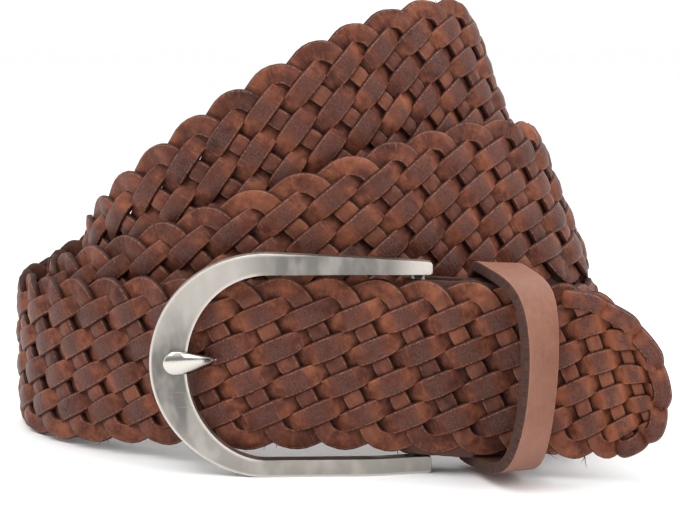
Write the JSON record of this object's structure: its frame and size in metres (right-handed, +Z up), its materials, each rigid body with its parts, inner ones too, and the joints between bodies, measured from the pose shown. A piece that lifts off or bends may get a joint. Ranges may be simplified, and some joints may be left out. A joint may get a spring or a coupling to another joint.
{
  "type": "braided leather belt",
  "caption": "Braided brown leather belt, buckled and coiled on its edge, with a horseshoe metal buckle, a blunt prong and a plain leather keeper.",
  "frame": {"origin": "middle of the belt's footprint, on the surface it stands on", "axes": "+Z up, across the width of the standing strap; -Y towards the buckle and the tail's tip, where the wearer's front is; +X along the buckled front towards the tail's tip"},
  "size_m": [0.1442, 0.1146, 0.099],
  "materials": {
    "leather": "satin",
    "tab": "matte",
    "keeper": "satin",
    "nickel": "brushed",
    "polished": "polished"
  },
  "bodies": {
    "root": {"braided_strap": "leather", "buckle_frame": "nickel", "buckle_pin": "polished", "buckle_tab": "tab", "keeper_loop": "keeper"}
  },
  "joints": []
}
